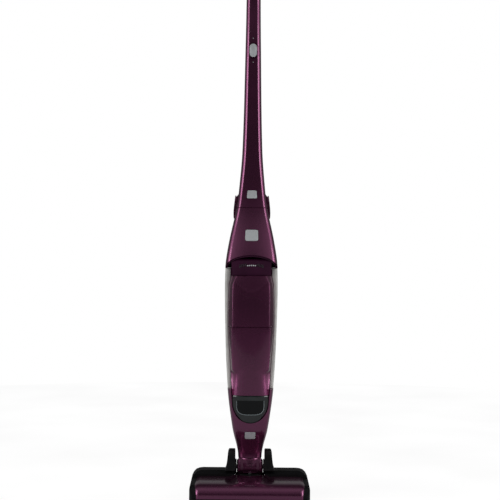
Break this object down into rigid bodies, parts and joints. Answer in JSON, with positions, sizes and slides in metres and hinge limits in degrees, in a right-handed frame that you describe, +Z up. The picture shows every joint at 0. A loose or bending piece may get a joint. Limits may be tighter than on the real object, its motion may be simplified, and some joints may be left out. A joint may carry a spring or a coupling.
{
  "type": "cordless stick vacuum",
  "caption": "Upright cordless stick vacuum: folding handle, docked hand vacuum with clear dust bin, leaning and steering knuckle, powered floor nozzle.",
  "frame": {"origin": "on the floor under the centre of the floor nozzle", "axes": "+Z up along the stick, +X to the machine's left-to-right as seen from the front, -Y towards the front of the nozzle"},
  "size_m": [0.265, 0.18, 1.16],
  "materials": {
    "aubergine": "metallic aubergine lacquer under clear gloss",
    "black_plastic": "fine moulded satin",
    "silver_paint": "satin silver paint",
    "rail_grey": "light grey moulded satin",
    "smoked_window": "smoked clear moulding",
    "rubber": "matt",
    "steel": "turned",
    "brass": "turned",
    "bristle": "nylon bristle on a moulded core",
    "cell_sleeve": "shrink sleeve over a metal can",
    "board_green": "solder mask",
    "filter_paper": "pleated filter cloth"
  },
  "bodies": {
    "floor_nozzle": {"nozzle_base": "black_plastic", "nozzle_cover": "aubergine", "sole_plate": "black_plastic", "brush_motor": "steel", "drive_belt": "rubber", "brush_bearing_left": "steel", "brush_bearing_right": "steel", "wheel_axle_left": "steel", "wheel_axle_right": "steel", "front_glide": "rubber", "yoke_left": "black_plastic", "yoke_right": "black_plastic", "saucer": "black_plastic", "pivot_pin_left": "steel", "pivot_pin_right": "steel"},
    "brush": {"brush_roll": "bristle"},
    "motor_drive": {"motor_pulley": "brass"},
    "wheel_left": {"wheel_left": "rubber"},
    "wheel_right": {"wheel_right": "rubber"},
    "knuckle": {"knuckle": "aubergine", "knuckle_screw": "steel"},
    "swivel": {"swivel_spigot": "black_plastic"},
    "frame": {"lower_cup": "aubergine", "rail_left": "rail_grey", "rail_right": "rail_grey", "spine": "aubergine", "neck_front_cover": "aubergine", "neck_rear_cover": "aubergine", "cavity_liner": "black_plastic", "hinge_ear_left": "aubergine", "hinge_ear_right": "aubergine", "hinge_pin": "steel", "charging_inlet": "black_plastic"},
    "release_button": {"release_button": "silver_paint"},
    "nozzle_button": {"nozzle_button": "silver_paint"},
    "handle": {"handle_front": "aubergine", "handle_rear": "aubergine", "handle_cap": "black_plastic", "switch_bezel": "aubergine"},
    "fold_button": {"fold_button": "silver_paint"},
    "power_slider": {"power_slider": "silver_paint"},
    "hand_vacuum": {"motor_shell_front": "aubergine", "motor_shell_rear": "aubergine", "grip": "black_plastic", "motor_can": "steel", "fan_shroud": "black_plastic", "battery_cell_1": "cell_sleeve", "battery_cell_2": "cell_sleeve", "battery_cell_3": "cell_sleeve", "battery_cell_4": "cell_sleeve", "circuit_board": "board_green"},
    "fan": {"impeller": "silver_paint"},
    "hand_power_button": {"hand_power_button": "silver_paint"},
    "bin_latch_left": {"bin_latch_left": "black_plastic"},
    "bin_latch_right": {"bin_latch_right": "black_plastic"},
    "dust_bin": {"bin_shell": "aubergine", "bin_window": "smoked_window", "filter_frame": "black_plastic", "filter": "filter_paper"},
    "inlet_flap": {"inlet_flap": "rubber"}
  },
  "joints": [
    {"name": "lean", "type": "hinge", "parent": "floor_nozzle", "child": "knuckle", "pos_m": [0, 0.045, 0.062], "axis": [-1, 0, 0], "range_deg": [0, 70]},
    {"name": "steer", "type": "hinge", "parent": "knuckle", "child": "swivel", "pos_m": [0, 0.045, 0.085], "axis": [0, 0, 1], "range_deg": [-25, 25]},
    {"name": "detach_stick", "type": "slide", "parent": "swivel", "child": "frame", "axis": [0, 0, 1], "range_m": [0, 0.04]},
    {"name": "fold_handle", "type": "hinge", "parent": "frame", "child": "handle", "pos_m": [0, 0.072, 0.65], "axis": [-1, 0, 0], "range_deg": [0, 170]},
    {"name": "press_release", "type": "slide", "parent": "frame", "child": "release_button", "axis": [0, 1, 0], "range_m": [0, 0.0025], "stiffness_N_per_m": 400},
    {"name": "press_nozzle", "type": "slide", "parent": "frame", "child": "nozzle_button", "axis": [0, 1, 0], "range_m": [0, 0.0025], "stiffness_N_per_m": 400},
    {"name": "press_fold", "type": "slide", "parent": "handle", "child": "fold_button", "axis": [0, 1, 0], "range_m": [0, 0.0025], "stiffness_N_per_m": 400},
    {"name": "slide_power", "type": "slide", "parent": "handle", "child": "power_slider", "axis": [0, 0.0629, 0.998], "range_m": [-0.0045, 0]},
    {"name": "undock", "type": "slide", "parent": "frame", "child": "hand_vacuum", "axis": [0, -1, 0], "range_m": [0, 0.16]},
    {"name": "bin_out", "type": "slide", "parent": "hand_vacuum", "child": "dust_bin", "axis": [0, -1, 0], "range_m": [0, 0.09]},
    {"name": "press_latch_left", "type": "slide", "parent": "hand_vacuum", "child": "bin_latch_left", "axis": [1, 0, 0], "range_m": [0, 0.002], "stiffness_N_per_m": 300},
    {"name": "press_latch_right", "type": "slide", "parent": "hand_vacuum", "child": "bin_latch_right", "axis": [-1, 0, 0], "range_m": [0, 0.002], "stiffness_N_per_m": 300},
    {"name": "press_hand_power", "type": "slide", "parent": "hand_vacuum", "child": "hand_power_button", "axis": [0, -1, 0], "range_m": [0, 0.0015], "stiffness_N_per_m": 300},
    {"name": "fan_spin", "type": "hinge", "parent": "hand_vacuum", "child": "fan", "pos_m": [0, 0.003, 0.383], "axis": [0, 0, 1], "continuous": true},
    {"name": "brush_spin", "type": "hinge", "parent": "floor_nozzle", "child": "brush", "pos_m": [0, -0.058, 0.0168], "axis": [1, 0, 0], "continuous": true},
    {"name": "motor_spin", "type": "hinge", "parent": "floor_nozzle", "child": "motor_drive", "pos_m": [-0.111, -0.019, 0.0208], "axis": [1, 0, 0], "continuous": true},
    {"name": "roll_left", "type": "hinge", "parent": "floor_nozzle", "child": "wheel_left", "pos_m": [-0.084, 0.078, 0.012], "axis": [1, 0, 0], "continuous": true},
    {"name": "roll_right", "type": "hinge", "parent": "floor_nozzle", "child": "wheel_right", "pos_m": [0.084, 0.078, 0.012], "axis": [1, 0, 0], "continuous": true},
    {"name": "flap_open", "type": "hinge", "parent": "dust_bin", "child": "inlet_flap", "pos_m": [0, 0.029, 0.175], "axis": [-1, 0, 0], "range_deg": [0, 70]}
  ],
  "couplings": [
    {"joint": "motor_spin", "follows": "brush_spin", "ratio": 1.8}
  ]
}
